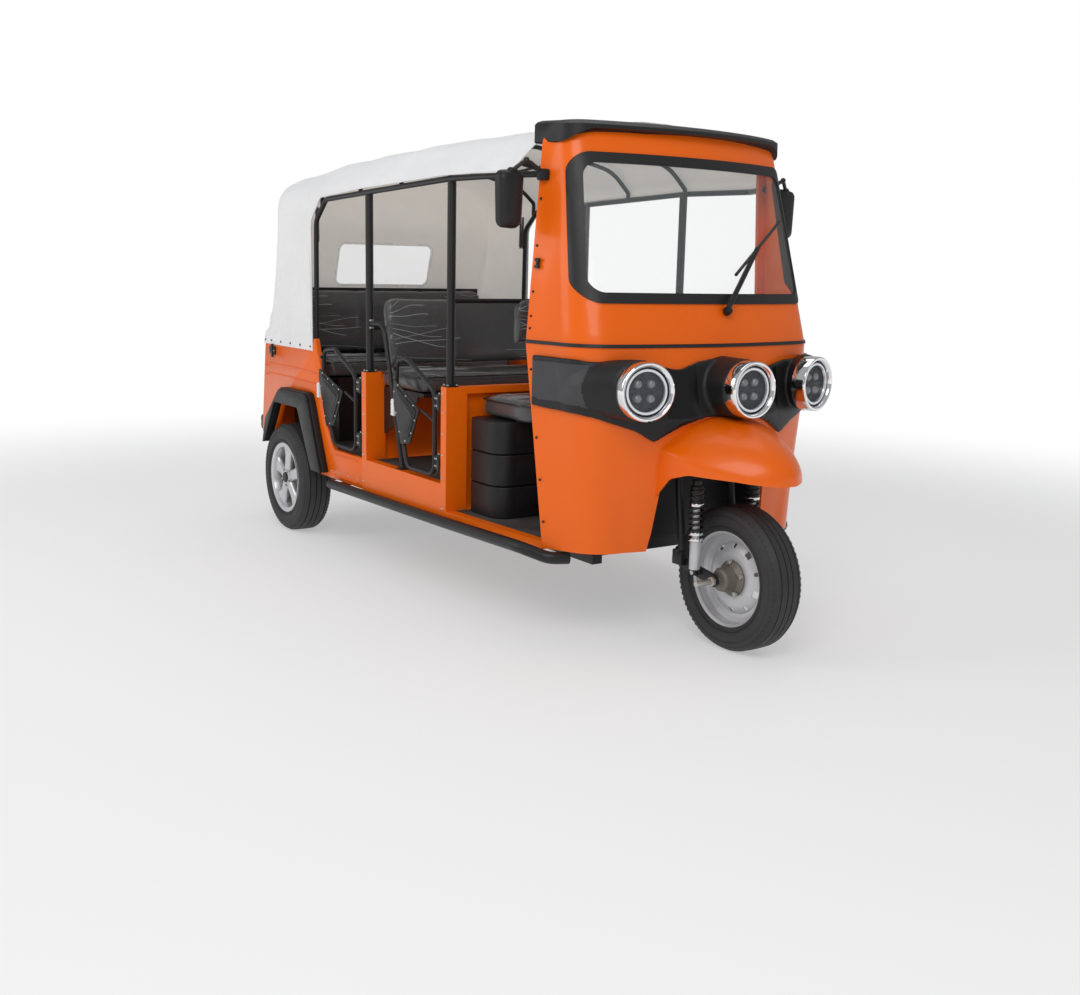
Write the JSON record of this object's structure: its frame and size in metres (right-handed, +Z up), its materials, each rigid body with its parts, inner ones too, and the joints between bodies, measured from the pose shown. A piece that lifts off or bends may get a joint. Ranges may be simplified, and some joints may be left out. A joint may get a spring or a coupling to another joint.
{
  "type": "three-row electric auto rickshaw",
  "caption": "Three-wheeled passenger rickshaw with an enclosed front cab, open half-door sides, three seat rows and a cloth cover over tube hoops.",
  "frame": {"origin": "on the ground, at the centre of the overall plan box", "axes": "+Z up, -Y towards the front of the vehicle, +X to its left side"},
  "size_m": [1.33, 3.13, 1.7765],
  "materials": {
    "orange_paint": "gloss",
    "black_frame": "satin",
    "black_plastic": "satin",
    "black_vinyl": "gloss under clear wrap",
    "white_canvas": "coated cloth",
    "clear_film": "clear",
    "windscreen_glass": "clear",
    "rubber": "matte",
    "chrome": "polished",
    "lamp_lens": "clear",
    "red_lens": "gloss",
    "grey_steel": "satin",
    "silver_steel": "satin",
    "silver_alloy": "satin",
    "tyre_rubber": "matte"
  },
  "bodies": {
    "vehicle": {"battery_box": "black_plastic", "brake_pedal": "black_frame", "cab_rubbers": "rubber", "chassis_frame": "black_frame", "cloth_cover": "white_canvas", "dashboard": "black_plastic", "door_hinges": "black_frame", "drive_motor": "black_frame", "driver_backrest": "black_vinyl", "driver_cushion": "black_vinyl", "floor_mats": "rubber", "floor_panel": "grey_steel", "front_bulkhead": "orange_paint", "front_mudguard": "orange_paint", "headlamp_bezels": "chrome", "headlamp_lenses": "lamp_lens", "lamp_mask": "black_plastic", "leaf_springs": "black_frame", "middle_backrest": "black_vinyl", "middle_cushion": "black_vinyl", "middle_seat_pan": "black_frame", "nose_panel": "orange_paint", "rear_axle": "black_frame", "rear_backrest": "black_vinyl", "rear_body": "orange_paint", "rear_bulkhead": "orange_paint", "rear_bumper": "black_plastic", "rear_cushion": "black_vinyl", "rear_seat_base": "black_frame", "rear_window": "clear_film", "roof_frame": "black_frame", "roof_visor": "black_plastic", "side_mirrors": "black_plastic", "side_posts": "black_frame", "side_sills": "orange_paint", "side_steps": "black_frame", "tail_lamps": "red_lens", "wheel_flares": "black_plastic", "wheelhouse_liner": "black_plastic", "windscreen_glass": "windscreen_glass", "windscreen_surround": "orange_paint", "windscreen_wiper": "black_plastic"},
    "steering": {"steering_fork": "black_frame", "link_arms": "black_frame", "front_shocks": "black_frame", "handlebar": "black_frame"},
    "front_wheel": {"front_tyre": "tyre_rubber", "front_wheel_rim": "silver_steel"},
    "rear_wheel_right": {"rear_right_tyre": "tyre_rubber", "rear_right_rim": "silver_alloy"},
    "rear_wheel_left": {"rear_left_tyre": "tyre_rubber", "rear_left_rim": "silver_alloy"},
    "door_middle_right": {"middle_door_right": "black_plastic"},
    "door_middle_left": {"middle_door_left": "black_plastic"},
    "door_rear_right": {"rear_door_right": "black_plastic"},
    "door_rear_left": {"rear_door_left": "black_plastic"}
  },
  "joints": [
    {"name": "steering", "type": "hinge", "parent": "vehicle", "child": "steering", "pos_m": [0, -1.14, 0.64], "axis": [0, 0.2756, 0.9613], "range_deg": [-35, 35]},
    {"name": "front_wheel_spin", "type": "hinge", "parent": "steering", "child": "front_wheel", "pos_m": [0, -1.318, 0.247], "axis": [1, 0, 0], "continuous": true},
    {"name": "rear_wheel_right_spin", "type": "hinge", "parent": "vehicle", "child": "rear_wheel_right", "pos_m": [-0.543, 1.147, 0.254], "axis": [1, 0, 0], "continuous": true},
    {"name": "rear_wheel_left_spin", "type": "hinge", "parent": "vehicle", "child": "rear_wheel_left", "pos_m": [0.543, 1.147, 0.254], "axis": [1, 0, 0], "continuous": true},
    {"name": "door_middle_right_swing", "type": "hinge", "parent": "vehicle", "child": "door_middle_right", "pos_m": [-0.573, -0.284, 0.64], "axis": [0, 0, 1], "range_deg": [0, 95]},
    {"name": "door_middle_left_swing", "type": "hinge", "parent": "vehicle", "child": "door_middle_left", "pos_m": [0.573, -0.284, 0.64], "axis": [0, 0, -1], "range_deg": [0, 95]},
    {"name": "door_rear_right_swing", "type": "hinge", "parent": "vehicle", "child": "door_rear_right", "pos_m": [-0.573, 0.388, 0.64], "axis": [0, 0, 1], "range_deg": [0, 95]},
    {"name": "door_rear_left_swing", "type": "hinge", "parent": "vehicle", "child": "door_rear_left", "pos_m": [0.573, 0.388, 0.64], "axis": [0, 0, -1], "range_deg": [0, 95]}
  ]
}
